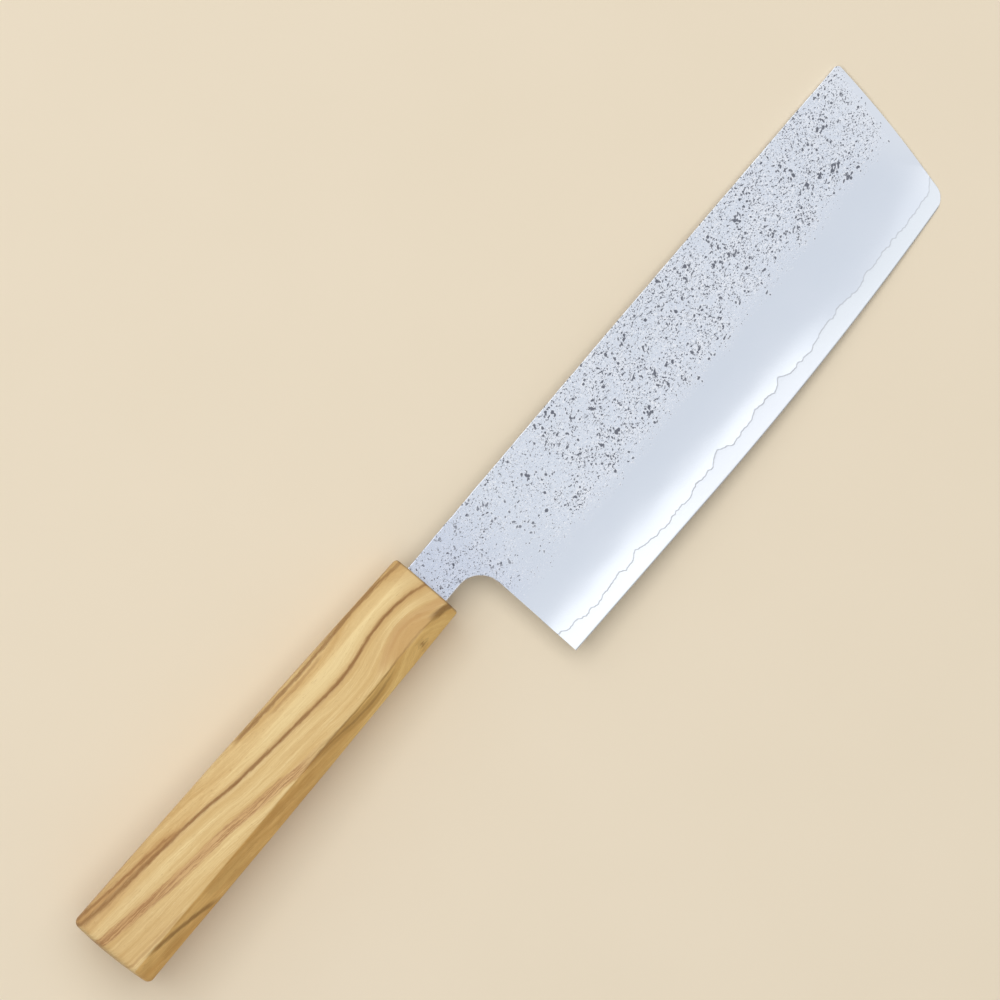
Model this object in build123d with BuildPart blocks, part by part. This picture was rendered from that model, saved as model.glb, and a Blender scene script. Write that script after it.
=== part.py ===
from build123d import *

import os
from math import cos, pi, sqrt

# A Japanese vegetable knife (nakiri): a three-layer blade whose tang is bedded in a one-piece
# octagonal wooden handle.
#
# The knife lies on its side: +X runs from the butt to the tip, +Y towards the spine, +Z up.
# The blade's middle plane and the handle's axis are level. The origin is under the middle of
# the whole knife, at the height of the handle's lowest point. All sizes are in millimetres.

# Blade outline, measured from the handle's mouth (x = 0) and the handle's axis (y = 0)
edge_length = 163.5  # heel to the front corner, before that corner is rounded
neck_length = 13.9  # handle's mouth to the foot of the neck
neck_height = 14.2
neck_below_axis = 7.0
spine_rise = 0.8  # the spine climbs this much from the neck to the nose
heel_lean = 0.4  # the heel stands this much nearer the handle than the foot of the neck
heel_depth = 43.5  # the cutting edge's distance below the axis at the heel,
belly_depth = 44.0  # at its lowest point,
toe_depth = 39.5  # and at its front end
belly_from_heel = 56.4  # the edge is straight up to here, and then sweeps up
nose_overhang = 9.1  # the spine reaches this much further forward than the edge
nose_bulge = 0.7
nose_radius = 1.0
toe_radius = 5.0
choil_radius = 7.8

# Blade thickness and grinding
neck_thickness = 2.1
nose_thickness = 1.95
taper_start = 3.0  # from the mouth: the blade is as thick as its neck up to here
bevel_width = 21.5  # the convex bevel's height above the cutting edge, at full thickness
bevel_bulge = 0.12
edge_thickness = 0.12
honed_width = 0.5
honed_thickness = 0.24  # where the honed strip meets the bevel
relief_width = 6.5  # the front end is thinned over this width,
relief_depth = 0.3  # by this much on each side
outline_softening = 0.35

# Steel layers
core_thickness = 0.78
core_wander = 0.09  # how far each forge-welded joint wanders from flat
wander_lengths = (71.0, 33.0, 19.0)
wander_shares = (0.5, 0.3, 0.2)
wander_step = 6.25
wander_lag = 26.0  # the lower joint wanders this much behind the upper one

# Tang, inside the handle
neck_in_handle = 6.0
tang_length = 82.0  # behind the shoulders
tang_root_height = 8.6
tang_end_height = 5.0
tang_end_thickness = 1.5
tang_end_radius = 1.2

# Handle
handle_length = 136.0
butt_width = 27.1
butt_thickness = 22.6
mouth_width = 22.6
mouth_thickness = 18.1
butt_facet = 5.4  # how far each corner facet cuts in at the butt, along y and along z,
mouth_facet = 4.3  # and at the mouth
butt_dome = 0.8
butt_rounding = 1.8
mouth_rounding = 1.0

# Socket for the tang: a row of drilled holes opened into one, cut wider for the neck
socket_drill = 3.2
tang_clearance = 0.8
neck_clearance = 0.2

overrun = 15.0  # every cutter runs this far past what it cuts

# The knife's datum, on the handle's axis at its mouth, as it is placed in the frame
heel_x = neck_length - heel_lean
toe_x = heel_x + edge_length
nose_x = toe_x + nose_overhang
shoulder_x = -neck_in_handle
tang_end_x = shoulder_x - tang_length
spine_neck_y = neck_height - neck_below_axis
tang_y = spine_neck_y - neck_height / 2
datum = Vector(
    (handle_length - nose_x) / 2,
    (belly_depth - butt_width / 2) / 2,
    butt_thickness / 2,
)
level = Plane(datum)  # local x to the tip, y to the spine
upright = Plane(datum, x_dir=(1, 0, 0), z_dir=(0, -1, 0))  # local x to the tip, y up
across = Plane(datum, x_dir=(0, 1, 0), z_dir=(1, 0, 0))  # local x to the spine, y up

# Corners of the blade's outline, on the level plane
heel = Vector(heel_x, -heel_depth)
belly = Vector(heel_x + belly_from_heel, -belly_depth)
toe = Vector(toe_x, -toe_depth)
nose = Vector(nose_x, spine_neck_y + spine_rise)
neck_foot = Vector(neck_length, -neck_below_axis)
along_edge = (belly - heel).normalized()
along_front = (nose - toe).normalized()

# Forging: the blade's plan with its neck and tang, cut to the taper of its thickness
with BuildPart() as forging:
    with BuildSketch(level) as plan:
        with BuildLine():
            Line(heel, belly)
            TangentArc(belly, toe, tangent=along_edge)
            SagittaArc(toe, nose, -nose_bulge)
            Polyline(
                nose,
                (shoulder_x, spine_neck_y),
                (shoulder_x, tang_y + tang_root_height / 2),
                (tang_end_x, tang_y + tang_end_height / 2),
                (tang_end_x, tang_y - tang_end_height / 2),
                (shoulder_x, tang_y - tang_root_height / 2),
                (shoulder_x, -neck_below_axis),
                neck_foot,
                heel,
            )
        make_face()
        for corner, radius in (
            (nose, nose_radius),
            (toe, toe_radius),
            (neck_foot, choil_radius),
        ):
            fillet(plan.vertices().sort_by_distance(corner)[0], radius)
        fillet(plan.vertices().group_by(Axis.X)[0], tang_end_radius)
    extrude(amount=neck_thickness, both=True)
    with BuildSketch(upright):
        with BuildLine():
            Polyline(
                (tang_end_x, tang_end_thickness / 2),
                (shoulder_x, neck_thickness / 2),
                (taper_start, neck_thickness / 2),
                (nose_x, nose_thickness / 2),
                (nose_x, -nose_thickness / 2),
                (taper_start, -neck_thickness / 2),
                (shoulder_x, -neck_thickness / 2),
                (tang_end_x, -tang_end_thickness / 2),
                close=True,
            )
        make_face()
    extrude(amount=belly_depth + overrun, both=True, mode=Mode.INTERSECT)
    flats = forging.faces().filter_by(lambda face: round(abs(face.normal_at().Z)) == 1)
    walls = forging.faces() - flats
    tang_edges = forging.edges().filter_by_position(
        Axis.X, tang_end_x + datum.X, shoulder_x + datum.X
    )
    fillet((flats.edges() & walls.edges()) - tang_edges, outline_softening)

# Bevel cutter: the space beside the convex bevel and the honed strip, along the cutting edge
with BuildLine() as edge_run:
    Line(heel - along_edge * overrun, belly)
    sweep_up = TangentArc(belly, toe, tangent=along_edge)
    Line(toe, toe + (sweep_up % 1) * overrun)
edge_path = edge_run.wire().moved(level.location)

with BuildPart() as bevel_cutter:
    with BuildSketch(Plane(edge_path @ 0, x_dir=along_edge.rotate(Axis.Z, 90), z_dir=along_edge)):
        with BuildLine():
            SagittaArc(
                (bevel_width, neck_thickness / 2),
                (honed_width, honed_thickness / 2),
                -bevel_bulge,
            )
            Polyline(
                (honed_width, honed_thickness / 2),
                (0, edge_thickness / 2),
                (-overrun, edge_thickness / 2),
                (-overrun, neck_thickness),
                (bevel_width, neck_thickness),
                (bevel_width, neck_thickness / 2),
            )
        make_face()
    sweep(path=edge_path)
    mirror(about=level)

# Front relief: a shallow wedge off each side of the front end
front_end = Plane(
    datum + toe,
    x_dir=along_front.rotate(Axis.Z, 90),
    z_dir=along_front,
)
with BuildPart() as relief_cutter:
    with BuildSketch(front_end):
        with BuildLine():
            Polyline(
                (2 * relief_width, nose_thickness / 2 + relief_depth),
                (-relief_width, nose_thickness / 2 - 2 * relief_depth),
                (-relief_width, nose_thickness / 2 + relief_depth),
                close=True,
            )
        make_face()
    extrude(amount=(nose - toe).length + overrun, both=True)
    mirror(about=level)

# Blade blank: the ground forging, still one solid
with BuildPart() as blank:
    add(forging.part)
    add(bevel_cutter.part, mode=Mode.SUBTRACT)
    add(relief_cutter.part, mode=Mode.SUBTRACT)


def joint_height(x, lag):
    """Distance from the blade's middle plane to a forge-welded joint, at x."""
    waves = (
        share * cos(2 * pi * (x - lag - heel_x) / length)
        for share, length in zip(wander_shares, wander_lengths)
    )
    return core_thickness / 2 + core_wander * sum(waves)


# Core slab: the layer between the two wandering joints, across the whole knife
slab_start = tang_end_x - overrun
slab_steps = round((nose_x + overrun - slab_start) / wander_step)
stations = [slab_start + step * wander_step for step in range(slab_steps + 1)]
with BuildPart() as core_slab:
    with BuildSketch(upright):
        with BuildLine():
            upper_joint = Spline(*[(x, joint_height(x, 0)) for x in stations])
            lower_joint = Spline(*[(x, -joint_height(x, wander_lag)) for x in stations])
            Line(upper_joint @ 0, lower_joint @ 0)
            Line(upper_joint @ 1, lower_joint @ 1)
        make_face()
    extrude(amount=belly_depth + overrun, both=True)

# Core steel: the hard layer that forms the cutting edge
with BuildPart() as core_steel:
    add(blank.part)
    add(core_slab.part, mode=Mode.INTERSECT)

# Claddings: the softer stainless layers on both sides of the core
with BuildPart() as claddings:
    add(blank.part)
    add(core_slab.part, mode=Mode.SUBTRACT)

with BuildPart() as front_cladding:
    add(claddings.solids().sort_by(Axis.Z)[-1])

with BuildPart() as back_cladding:
    add(claddings.solids().sort_by(Axis.Z)[0])

# Socket: what is cut out of the handle for the tang and the neck, from the mouth inwards
with BuildPart() as socket:
    with BuildSketch(across):
        with Locations((tang_y, 0)):
            SlotOverall(tang_root_height + 2 * tang_clearance, socket_drill)
    extrude(amount=-(neck_in_handle + tang_length + tang_clearance))
    with BuildSketch(across):
        with Locations((tang_y, 0)):
            RectangleRounded(
                neck_height + 2 * neck_clearance,
                neck_thickness + 2 * neck_clearance,
                outline_softening,
            )
    extrude(amount=-neck_in_handle)

# Handle: a tapered octagon with a slightly domed butt, shaped in four views round its axis:
# from the front, onto the lower corner facets, from the edge, and onto the upper ones
dome_radius = ((butt_width / 2) ** 2 + butt_dome**2) / (2 * butt_dome)
butt_corner_width = (butt_width + butt_thickness - 2 * butt_facet) / sqrt(2)
mouth_corner_width = (mouth_width + mouth_thickness - 2 * mouth_facet) / sqrt(2)
views = (
    (0, butt_width, mouth_width),
    (45, butt_corner_width, mouth_corner_width),
    (90, butt_thickness, mouth_thickness),
    (135, butt_corner_width, mouth_corner_width),
)
with BuildPart() as handle:
    for turn, butt, mouth in views:
        with BuildSketch(level.rotated((turn, 0, 0))) as silhouette:
            with BuildLine():
                dome_rise = dome_radius - sqrt(dome_radius**2 - (butt / 2) ** 2)
                butt_x = dome_rise - handle_length
                SagittaArc((butt_x, butt / 2), (butt_x, -butt / 2), -dome_rise)
                Polyline(
                    (butt_x, -butt / 2),
                    (0, -mouth / 2),
                    (0, mouth / 2),
                    (butt_x, butt / 2),
                )
            make_face()
            ends = silhouette.vertices().group_by(Axis.X)
            fillet(ends[0], butt_rounding)
            fillet(ends[-1], mouth_rounding)
        extrude(amount=butt_width, both=True, mode=Mode.INTERSECT if turn else Mode.ADD)
    add(socket.part, mode=Mode.SUBTRACT)

# Tang bedding: the resin that fills the socket round the tang and the neck
with BuildPart() as tang_bedding:
    add(socket.part)
    add(blank.part, mode=Mode.SUBTRACT)

os.makedirs("parts", exist_ok=True)
pieces = {
    "core_steel": core_steel,
    "front_cladding": front_cladding,
    "back_cladding": back_cladding,
    "handle": handle,
    "tang_bedding": tang_bedding,
}
for name, piece in pieces.items():
    piece.part.label = name
    export_step(piece.part, f"parts/{name}.step")
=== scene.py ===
import math
import random

import bmesh
import bpy
import numpy as np
from mathutils import Matrix, Vector, noise


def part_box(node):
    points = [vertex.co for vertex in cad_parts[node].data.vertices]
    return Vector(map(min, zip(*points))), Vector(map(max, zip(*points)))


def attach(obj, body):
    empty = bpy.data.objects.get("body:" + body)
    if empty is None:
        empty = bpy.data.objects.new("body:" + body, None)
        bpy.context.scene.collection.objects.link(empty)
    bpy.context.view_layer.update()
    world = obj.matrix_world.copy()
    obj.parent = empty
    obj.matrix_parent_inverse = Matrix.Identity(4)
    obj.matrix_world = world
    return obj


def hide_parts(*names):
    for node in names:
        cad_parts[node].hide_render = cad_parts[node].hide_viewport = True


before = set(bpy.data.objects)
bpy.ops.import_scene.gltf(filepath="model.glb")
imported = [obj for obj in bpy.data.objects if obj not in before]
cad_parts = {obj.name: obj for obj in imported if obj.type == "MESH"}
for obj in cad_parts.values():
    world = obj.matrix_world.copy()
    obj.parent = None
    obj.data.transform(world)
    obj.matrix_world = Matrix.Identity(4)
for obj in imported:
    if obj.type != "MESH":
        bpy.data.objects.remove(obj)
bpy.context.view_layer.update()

# The knife lies on its side. Sizes below are in millimetres from the middle of the handle's mouth:
# x runs to the tip, y towards the spine and z up, out of the side that the photograph shows.
MM = 0.001
handle_low, handle_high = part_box("handle")
mouth = Vector((handle_high.x, (handle_low.y + handle_high.y) / 2, (handle_low.z + handle_high.z) / 2))


def to_frame(bm, name):
    """The finished bmesh as an object of the frame, its millimetres turned to metres at their place."""
    bmesh.ops.recalc_face_normals(bm, faces=bm.faces)
    if bm.calc_volume(signed=True) < 0:
        bmesh.ops.reverse_faces(bm, faces=bm.faces)
    bmesh.ops.transform(bm, matrix=Matrix.Translation(mouth) @ Matrix.Scale(MM, 4), verts=bm.verts)
    mesh = bpy.data.meshes.new(name)
    bm.to_mesh(mesh)
    bm.free()
    mesh.shade_smooth()
    mesh.set_sharp_from_angle(angle=math.radians(40))
    piece = bpy.data.objects.new(name, mesh)
    bpy.context.scene.collection.objects.link(piece)
    return piece


# Core steel: the hard layer in the middle of the forged blade, with the neck and the tang in one piece.
# It shows as a polished strip along the cutting edge on both sides, below the wavy line where the
# softer outer layers end, and as a thin layer along the spine, the heel and the front end.
shoulder_x, tang_end_x = -6.0, -88.0
tang_root_y, tang_end_y = (4.4, -4.2), (2.6, -2.4)
neck_bottom_y, choil_radius = -7.0, 7.8
heel, neck_foot = (13.5, -43.5), (13.9, -7.0)
belly, toe, nose = (69.9, -43.98), (177.0, -39.5), (186.1, 8.0)
spine_neck_y, spine_crown = 7.2, 0.28
front_bulge = 0.95
toe_radius, nose_radius = 5.0, 1.6
spine_way, edge_way = (-1.0, -0.004), (-1.0, -0.102)  # how they run back from the nose and from the toe
front_slant = 0.98  # turns a distance along x into one across the leaning front end
neck_half, nose_half, tang_end_half = 1.05, 0.975, 0.75
taper_start = 3.0
edge_half, honed_half, honed_width = 0.06, 0.12, 0.5
bevel_width, bevel_bulge = 21.5, 0.48
bevel_run_out = 0.02  # how fast the grinding rises above the bevel, clear of the flats
grinding_unrest = 0.006
relief_width, relief_depth = 6.5, 0.3
softening = 0.35  # how wide the corners along the outline are rounded
blend = 0.05  # how far two ground faces flow into each other
far = 99.0  # the distance of a side that doesn't bound the blade at a place
choil_x = neck_foot[0] - choil_radius
choil_y = neck_bottom_y - choil_radius

# The line between the layers on the photographed side, from heel to front
clad_line = (
    (13.5, -36.5), (17.5, -37.4), (22.6, -39.3), (28.2, -39.7), (35.2, -38.9), (42.1, -39.2),
    (45.5, -37.9), (49.2, -39.0), (53.4, -39.7), (63.2, -39.9), (70.2, -39.0), (77.2, -38.7),
    (81.9, -37.3), (85.6, -38.9), (91.2, -39.0), (96.8, -38.2), (102.4, -37.9), (104.3, -38.3),
    (108.3, -36.5), (112.2, -38.5), (117.8, -38.9), (123.4, -38.2), (130.4, -37.3), (137.4, -37.1),
    (141.6, -37.5), (147.8, -36.5), (151.4, -36.5), (159.8, -35.9), (168.8, -35.9), (174.4, -34.8),
    (178.6, -32.7),
)
line_waves, line_jitter = 1.3, 0.75


def heel_line(y):
    """The x of the heel's end of the blade at height y."""
    return neck_foot[0] + (heel[0] - neck_foot[0]) * (y - neck_foot[1]) / (heel[1] - neck_foot[1])


def front_line(y):
    """The x of the blade's front end at height y, before its corners are rounded."""
    share = (y - toe[1]) / (nose[1] - toe[1])
    return toe[0] + (nose[0] - toe[0]) * share + 4 * front_bulge * share * (1 - share)


def edge_line(x):
    """The y of the cutting edge: straight from the heel to the belly, then an arc up to the toe."""
    run = np.array(belly) - np.array(heel)
    along = run / np.linalg.norm(run)
    up = np.array((-along[1], along[0]))
    chord = np.array(toe) - np.array(belly)
    radius = chord @ chord / (2 * chord @ up)
    centre = np.array(belly) + up * radius
    straight = heel[1] + (x - heel[0]) * run[1] / run[0]
    arc = centre[1] - np.sqrt(radius**2 - np.clip(x - centre[0], -radius, radius) ** 2)
    return np.where(x < belly[0], straight, arc)


def waver(x, seed, *waves):
    """A smooth chance wandering from -1 to 1 along x, as the sum of noises of the given lengths."""
    total = np.zeros(len(x))
    for length in waves:
        total += [noise.noise(Vector((value / length, seed, length))) for value in x]
    return total / len(waves)


def sampled(x, shape):
    """The values of a slow function of x, worked out at close places and read between them."""
    places = np.arange(shoulder_x - 1, nose[0] + 2, 0.2)
    return np.interp(x, places, shape(places))


def ripple(x, y, length, height, seed):
    """A smooth chance wandering from -1 to 1 over the blade's plan, in waves of the given sizes."""
    return np.array([noise.noise(Vector((a / length, b / height, seed))) for a, b in zip(x, y)])


def spine_line(x):
    """The y of the spine: almost straight, with the small waves that the hammer leaves."""
    share = (x - shoulder_x) / (nose[0] - shoulder_x)
    crowned = spine_neck_y + (nose[1] - spine_neck_y) * share + 4 * spine_crown * share * (1 - share)
    return crowned - sampled(x, lambda s: 0.08 + 0.12 * waver(s, 3.1, 9.0, 3.4))


def layer_line(x, side):
    """The y of the line between the layers, on the front (side 1) or on the back (side -1)."""
    places, heights = np.array(clad_line).T
    if side < 0:
        heights = heights + 1.1 * waver(places + 57.0, 8.7, 23.0, 61.0)
    long_waves = sampled(x, lambda s: line_waves * waver(s, 5.3 * side, 2.4, 5.2))
    short_waves = sampled(x, lambda s: line_jitter * waver(s, 7.9 * side, 0.8, 1.5))
    return np.interp(x, places, heights) + long_waves + short_waves


def round_corner(x, y, corner, along, radius):
    """Points near a sharp corner of the outline drawn in so that the corner is round."""
    corner = np.array(corner)
    ways = [np.array(way) / np.linalg.norm(way) for way in along]
    middle = sum(ways) / np.linalg.norm(sum(ways))
    half_angle = math.acos(ways[0] @ middle)
    centre = corner + middle * radius / math.sin(half_angle)
    dx, dy = x - centre[0], y - centre[1]
    reach = np.hypot(dx, dy) + 1e-9
    off_axis = np.arccos(np.clip(-(dx * middle[0] + dy * middle[1]) / reach, -1, 1))
    spread = math.pi / 2 - half_angle
    limit = radius / np.cos(np.clip(spread - off_axis, 0, None))
    share = np.where(off_axis < spread, (1 - radius / limit) * np.clip(reach / limit, 0, 1) ** 3, 0)
    return x - dx * share, y - dy * share


def flat_half(x):
    """Half the blade's thickness at its flats: even at the neck, and thinner towards the nose."""
    tang = np.interp(x, (tang_end_x, shoulder_x), (tang_end_half, neck_half))
    blade = np.interp(x, (taper_start, nose[0]), (neck_half, nose_half))
    return np.where(x < shoulder_x, tang, blade)


def outline_gap(x, y):
    """The distance inwards from the spine, the neck, the choil, the heel and the front end."""
    front = (front_line(y) - x) * front_slant
    below_choil = np.where(y < choil_y, x - heel_line(y), far)
    neck = np.where(x < choil_x, y - neck_bottom_y, far)
    in_choil = (x >= choil_x) & (y >= choil_y)
    choil = np.where(in_choil, np.hypot(x - choil_x, y - choil_y) - choil_radius, far)
    return np.clip(np.minimum.reduce((spine_line(x) - y, front, below_choil, neck, choil)), 0, None)


def blade_half(x, y):
    """Half the ground blade's thickness, with its flats, bevel, honed strip and front relief."""
    above_edge = np.clip(y - edge_line(x), 0, None)
    share = (above_edge - honed_width) / (bevel_width - honed_width)
    bevel = honed_half + (neck_half - honed_half) * share + bevel_bulge * share * (1 - share)
    bevel = bevel + grinding_unrest * ripple(x, y, 9, 6, 2.6) * np.clip(4 * share * (1 - share), 0, 1)
    honed = edge_half + (honed_half - edge_half) * above_edge / honed_width
    bevel = np.where(above_edge < honed_width, honed, bevel)
    bevel = np.where(share > 1, neck_half + (above_edge - bevel_width) * bevel_run_out, bevel)
    gap = np.clip(outline_gap(x, y), 0, softening)
    round_over = softening - np.sqrt(softening**2 - (softening - gap) ** 2)
    relief = nose_half - relief_depth * (1 - (front_line(y) - x) * front_slant / relief_width)
    flat = flat_half(x) - round_over
    for cut in (bevel, relief - round_over):
        meet = np.clip(blend - np.abs(flat - cut), 0, None) / blend
        flat = np.minimum(flat, cut) - meet**2 * blend / 4
    return np.maximum(flat, edge_half)


# The stations of the blade's mesh. Columns run across the knife, from the neck's end in the handle
# to the front end, and rows run along it, closer together where the steel is rounded or pitted.
pitch, choil_columns = 0.36, 34
neck_columns = np.arange(shoulder_x, choil_x, pitch)
choil_turn = np.linspace(0, math.pi / 2, choil_columns)
neck_columns = np.concatenate((neck_columns, choil_x + choil_radius * np.sin(choil_turn)))
blade_length = nose[0] - neck_foot[0]
near_end = np.array((0, 0.09, 0.2, 0.36, 0.6)) / blade_length
blade_columns = np.linspace(near_end[-1], 1 - near_end[-1], round(blade_length / pitch))
blade_columns = np.concatenate((near_end[1:-1], blade_columns, 1 - near_end[-2::-1]))
neck_count = len(neck_columns) - 1
column_count = neck_count + len(blade_columns)


def plan_place(column, row, side):
    """Where a column and a row of the mesh meet, in the blade's plan. Row 0 is the spine, row 1 the choil's
    level, row 2 the line between the layers and row 3 the cutting edge."""
    in_neck = column <= neck_count
    neck_x = np.interp(column, np.arange(neck_count + 1), neck_columns)
    neck_share = (neck_x - shoulder_x) / (neck_foot[0] - shoulder_x)
    across = np.interp(column - neck_count, np.arange(len(blade_columns) + 1), (0, *blade_columns))
    x = np.where(in_neck, neck_x, neck_foot[0] + across * blade_length)
    turn = np.clip((neck_x - choil_x) / choil_radius, 0, 1)
    neck_low = neck_bottom_y - choil_radius * (1 - np.sqrt(1 - turn**2))
    for _ in range(4):  # the levels depend on x, and x leans with y, so they settle in a few rounds
        levels = (
            spine_line(x),
            np.where(in_neck, neck_low, choil_y),
            layer_line(x, side),
            edge_line(x),
        )
        y = levels[0]
        for upper, (high, low) in enumerate(zip(levels, levels[1:])):
            y = y + (low - high) * np.clip(row - upper, 0, 1)
        lean = heel_line(y) - neck_foot[0]
        in_blade = heel_line(y) + across * (front_line(y) - heel_line(y))
        x = np.where(in_neck, neck_x + lean * neck_share, in_blade)
    front_way = np.array(toe) - np.array(nose)
    x, y = round_corner(x, y, nose, (spine_way, front_way), nose_radius)
    return round_corner(x, y, toe, (edge_way, -front_way), toe_radius)


def only(kind, made):
    """The vertices, edges or faces among the parts that an operator made."""
    return [part for part in made if isinstance(part, kind)]


def plate(zones):
    """A closed plate over the blade's plan with its tang, still in stations: x is the column, y the row,
    and z is 1 on its front face and 0 on its back face. The tang's corners are columns -1 and -2."""
    bm = bmesh.new()
    bmesh.ops.create_grid(bm, x_segments=column_count, y_segments=zones, size=0.5)
    for v in bm.verts:
        v.co = (round((v.co.x + 0.5) * column_count), round((0.5 - v.co.y) * zones), 0)
    middles = {f: f.calc_center_median() for f in bm.faces}
    beside_neck = [f for f, middle in middles.items() if middle.x < neck_count and middle.y > 1]
    bmesh.ops.delete(bm, geom=beside_neck, context="FACES")
    grown = bmesh.ops.extrude_face_region(bm, geom=bm.faces[:])["geom"]
    bmesh.ops.translate(bm, verts=only(bmesh.types.BMVert, grown), vec=(0, 0, 1))
    for _ in range(2):
        end = min(bm.faces, key=lambda f: f.calc_center_median().x)
        grown = bmesh.ops.extrude_face_region(bm, geom=[end])["geom"]
        bmesh.ops.delete(bm, geom=[end], context="FACES_ONLY")
        bmesh.ops.translate(bm, verts=only(bmesh.types.BMVert, grown), vec=(-1, 0, 0))
    return bm


def cut_rows(bm, zone, rows, faces):
    """More rows within a zone of the plate, on its front face (1), its back face (0) or both."""
    crossing = [
        e for e in bm.edges
        if min(v.co.y for v in e.verts) == zone and max(v.co.y for v in e.verts) == zone + 1
        and e.verts[0].co.x == e.verts[1].co.x >= 0
        and e.verts[0].co.z == e.verts[1].co.z and e.verts[0].co.z in faces
    ]
    bmesh.ops.subdivide_edges(bm, edges=crossing, cuts=rows - 1, use_grid_fill=True)


def stations(bm):
    """The columns, rows and faces of all the plate's vertices."""
    return np.array([v.co for v in bm.verts]).T


def shape_plate(bm, x, y, z):
    """Moves the plate's vertices to their places in millimetres."""
    for v, place in zip(bm.verts, zip(x, y, z)):
        v.co = place


def mark_verts(piece, **fields):
    """Keeps a value for each vertex under a name that the piece's material reads."""
    for name, values in fields.items():
        piece.data.attributes.new(name, "FLOAT", "POINT").data.foreach_set("value", values)


def tang_place(column, row, x, y):
    """The places of all the vertices, with the tang's corners put where the tang tapers to."""
    at_end = column < -1.5
    tang_x = np.where(at_end, tang_end_x, shoulder_x - 0.02)
    high = np.where(at_end, tang_end_y[0], tang_root_y[0])
    low = np.where(at_end, tang_end_y[1], tang_root_y[1])
    in_tang = column < -0.5
    return np.where(in_tang, tang_x, x), np.where(in_tang, np.where(row > 0.5, low, high), y)


def joint_half(column, side):
    """The distance of the joint between the layers from the blade's middle plane, at each column."""
    every = np.arange(column_count + 1.0)
    x, y = plan_place(every, np.full(column_count + 1, 2.0), side)
    height = blade_half(x, y)
    height[: neck_count + 1] = height[neck_count + 1]
    joint = np.interp(column, every, height)
    return np.where(column < -1.5, joint * tang_end_half / neck_half, joint)


strip_rows = 14
bm = plate(3)
cut_rows(bm, 2, strip_rows, (0, 1))
column, row, face = stations(bm)
front = face > 0.5
x, y = plan_place(column, row, 1)
back_x, back_y = plan_place(column, row, -1)
x, y = np.where(front, x, back_x), np.where(front, y, back_y)
x, y = tang_place(column, row, x, y)
joint = np.where(front, joint_half(column, 1), joint_half(column, -1))
strip = (row > 2) & (column >= 0)
half = np.where(strip, blade_half(x, y), joint)
line_gap = np.abs(np.where(front, layer_line(x, 1), layer_line(x, -1)) - y)
shape_plate(bm, x, y, np.where(front, half, -half))
core = to_frame(bm, "core_steel_blade")
mark_verts(core, line_gap=line_gap, edge_gap=y - edge_line(x))


class Term:
    """One output of a material's nodes, as a term of a sum. Each operator adds a Math node."""

    def __init__(self, finish, socket):
        self.finish = finish
        self.socket = socket

    def math(self, operation, *others, clamp=False):
        settings = {"operation": operation, "use_clamp": clamp}
        keys = ("Value", "Value_001", "Value_002")
        return self.finish.node("ShaderNodeMath", settings, dict(zip(keys, (self, *others))))

    def reflected(self, operation, other):
        settings = {"operation": operation}
        return self.finish.node("ShaderNodeMath", settings, {"Value": other, "Value_001": self})

    def __add__(self, other):
        return self.math("ADD", other)

    def __radd__(self, other):
        return self.math("ADD", other)

    def __sub__(self, other):
        return self.math("SUBTRACT", other)

    def __rsub__(self, other):
        return self.reflected("SUBTRACT", other)

    def __mul__(self, other):
        return self.math("MULTIPLY", other)

    def __rmul__(self, other):
        return self.math("MULTIPLY", other)

    def __truediv__(self, other):
        return self.math("DIVIDE", other)

    def __abs__(self):
        return self.math("ABSOLUTE")

    def rise(self, low, high):
        """A smooth step from 0 at low to 1 at high."""
        settings = {"interpolation_type": "SMOOTHSTEP"}
        links = {"Value": self, "From Min": low, "From Max": high}
        return self.finish.node("ShaderNodeMapRange", settings, links, "Result")

    def clamped(self):
        return self.math("ADD", 0.0, clamp=True)


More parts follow.
